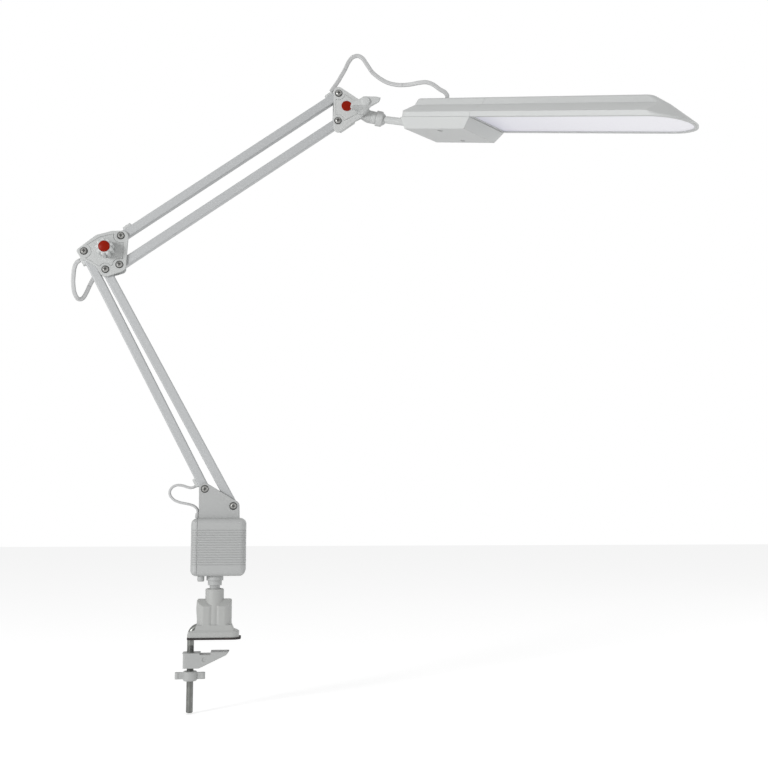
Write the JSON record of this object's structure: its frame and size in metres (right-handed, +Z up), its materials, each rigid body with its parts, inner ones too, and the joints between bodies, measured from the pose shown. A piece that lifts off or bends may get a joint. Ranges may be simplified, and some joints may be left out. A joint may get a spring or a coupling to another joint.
{
  "type": "task lamp",
  "caption": "Clamp-on task lamp with two parallel-arm sections, a ball-jointed long flat head with a diffuser underneath, and a driver box on the swivel.",
  "frame": {"origin": "middle of the swivel's axis on the underside of the clamp's rubber pad, which rests on the table top", "axes": "+Z up along the swivel's axis; the arms move in the XZ plane, with +X the way the upper arms reach and +Y away from the viewer of the picture"},
  "size_m": [0.7491, 0.3207, 0.8753],
  "materials": {
    "grey_plastic": "satin",
    "pale_plastic": "satin",
    "painted_tube": "satin powder coat",
    "painted_cast": "satin powder coat",
    "steel": "zinc plated",
    "rubber": "matte",
    "red_plastic": "gloss",
    "diffuser": "opal",
    "board": "solder mask",
    "flex": "soft"
  },
  "bodies": {
    "clamp": {"clamp_base": "painted_cast", "clamp_pad": "rubber", "clamp_rod": "steel", "swivel_bush": "pale_plastic"},
    "jaw": {"jaw": "painted_cast"},
    "wing_nut": {"wing_nut": "painted_cast"},
    "swivel": {"swivel_post": "grey_plastic", "housing_front": "grey_plastic", "housing_rear": "grey_plastic", "driver_board": "board", "cord_gland": "grey_plastic", "flex_outlet": "grey_plastic", "base_screws": "steel", "base_nuts": "steel", "base_loop": "flex"},
    "lower_arm_a": {"lower_arm_a": "painted_tube", "lower_arm_a_ends": "pale_plastic", "lower_arm_grommets": "grey_plastic", "lower_arm_flex": "flex", "elbow_loop_a": "flex"},
    "lower_arm_b": {"lower_arm_b": "painted_tube", "lower_arm_b_ends": "pale_plastic"},
    "elbow": {"elbow_front": "grey_plastic", "elbow_rear": "grey_plastic", "elbow_screws": "steel", "elbow_nuts": "steel", "tension_bolt": "steel", "elbow_loop_b": "flex"},
    "tension_knob": {"tension_knob": "grey_plastic", "knob_cap": "red_plastic"},
    "upper_arm_a": {"upper_arm_a": "painted_tube", "upper_arm_a_ends": "pale_plastic", "upper_arm_grommets": "grey_plastic", "upper_arm_flex": "flex", "head_loop_a": "flex"},
    "upper_arm_b": {"upper_arm_b": "painted_tube", "upper_arm_b_ends": "pale_plastic"},
    "bracket": {"bracket_front": "grey_plastic", "bracket_rear": "grey_plastic", "bracket_screws": "steel", "bracket_nuts": "steel", "bracket_cap": "red_plastic", "wing_bolt": "steel", "head_loop_b": "flex"},
    "wing_knob": {"wing_knob": "grey_plastic"},
    "tilt": {"joint_front": "grey_plastic", "joint_rear": "grey_plastic", "tilt_washers": "pale_plastic", "head_loop_c": "flex"},
    "ball": {"swivel_ball": "grey_plastic", "head_loop_d": "flex"},
    "head": {"head_rod": "painted_tube", "rear_housing": "grey_plastic", "lower_cover": "grey_plastic", "cover_screws": "steel", "shade": "grey_plastic", "reflector": "pale_plastic", "led_board": "board", "diffuser": "diffuser", "head_grommet": "grey_plastic"}
  },
  "joints": [
    {"name": "swivel", "type": "hinge", "parent": "clamp", "child": "swivel", "pos_m": [0, 0, 0.065], "axis": [0, 0, 1], "continuous": true},
    {"name": "jaw_slide", "type": "slide", "parent": "clamp", "child": "jaw", "axis": [0, 0, 1], "range_m": [-0.038, 0.012]},
    {"name": "wing_nut_spin", "type": "hinge", "parent": "jaw", "child": "wing_nut", "pos_m": [-0.0294, 0, -0.046], "axis": [0, 0, 1], "continuous": true},
    {"name": "lower_lift", "type": "hinge", "parent": "swivel", "child": "lower_arm_a", "pos_m": [-0.0143, 0, 0.1901], "axis": [0, -1, 0], "range_deg": [-60, 1.5], "deforming": ["base_loop"]},
    {"name": "lower_arm_b_pivot", "type": "hinge", "parent": "swivel", "child": "lower_arm_b", "pos_m": [0.0224, 0, 0.1682], "axis": [0, -1, 0], "range_deg": [-60.6, 1.6]},
    {"name": "elbow_pivot", "type": "hinge", "parent": "lower_arm_a", "child": "elbow", "pos_m": [-0.17553, 0, 0.4985], "axis": [0, -1, 0], "range_deg": [-1.9, 74], "deforming": ["elbow_loop_a"]},
    {"name": "tension_knob_spin", "type": "hinge", "parent": "elbow", "child": "tension_knob", "pos_m": [-0.14713, -0.02, 0.5012], "axis": [0, -1, 0], "continuous": true},
    {"name": "upper_lift", "type": "hinge", "parent": "elbow", "child": "upper_arm_a", "pos_m": [-0.12883, 0, 0.52], "axis": [0, -1, 0], "range_deg": [-75, 25], "deforming": ["elbow_loop_b"]},
    {"name": "upper_arm_b_pivot", "type": "hinge", "parent": "elbow", "child": "upper_arm_b", "pos_m": [-0.12968, 0, 0.4816], "axis": [0, -1, 0], "range_deg": [-75, 25]},
    {"name": "bracket_pivot", "type": "hinge", "parent": "upper_arm_a", "child": "bracket", "pos_m": [0.15576, 0, 0.72374], "axis": [0, -1, 0], "range_deg": [-25, 75], "deforming": ["head_loop_a"]},
    {"name": "wing_knob_spin", "type": "hinge", "parent": "bracket", "child": "wing_knob", "pos_m": [0.18706, -0.025, 0.70234], "axis": [0, -1, 0], "continuous": true},
    {"name": "head_tilt", "type": "hinge", "parent": "bracket", "child": "tilt", "pos_m": [0.18706, 0, 0.70234], "axis": [0, -1, 0], "range_deg": [-50, 60], "deforming": ["head_loop_b"]},
    {"name": "head_pan", "type": "hinge", "parent": "tilt", "child": "ball", "pos_m": [0.21335, 0, 0.6931], "axis": [0.1736, 0, 0.9848], "range_deg": [-1, 80], "deforming": ["head_loop_c"]},
    {"name": "head_roll", "type": "hinge", "parent": "ball", "child": "head", "pos_m": [0.21335, 0, 0.6931], "axis": [0.726, -0.6201, -0.2974], "range_deg": [-60, 60], "deforming": ["head_loop_d"]}
  ],
  "couplings": [
    {"joint": "elbow_pivot", "follows": "lower_lift", "ratio": -1.2331},
    {"joint": "lower_arm_b_pivot", "follows": "lower_lift", "ratio": 1.009},
    {"joint": "upper_arm_b_pivot", "follows": "upper_lift", "ratio": 1},
    {"joint": "bracket_pivot", "follows": "upper_lift", "ratio": -1}
  ]
}
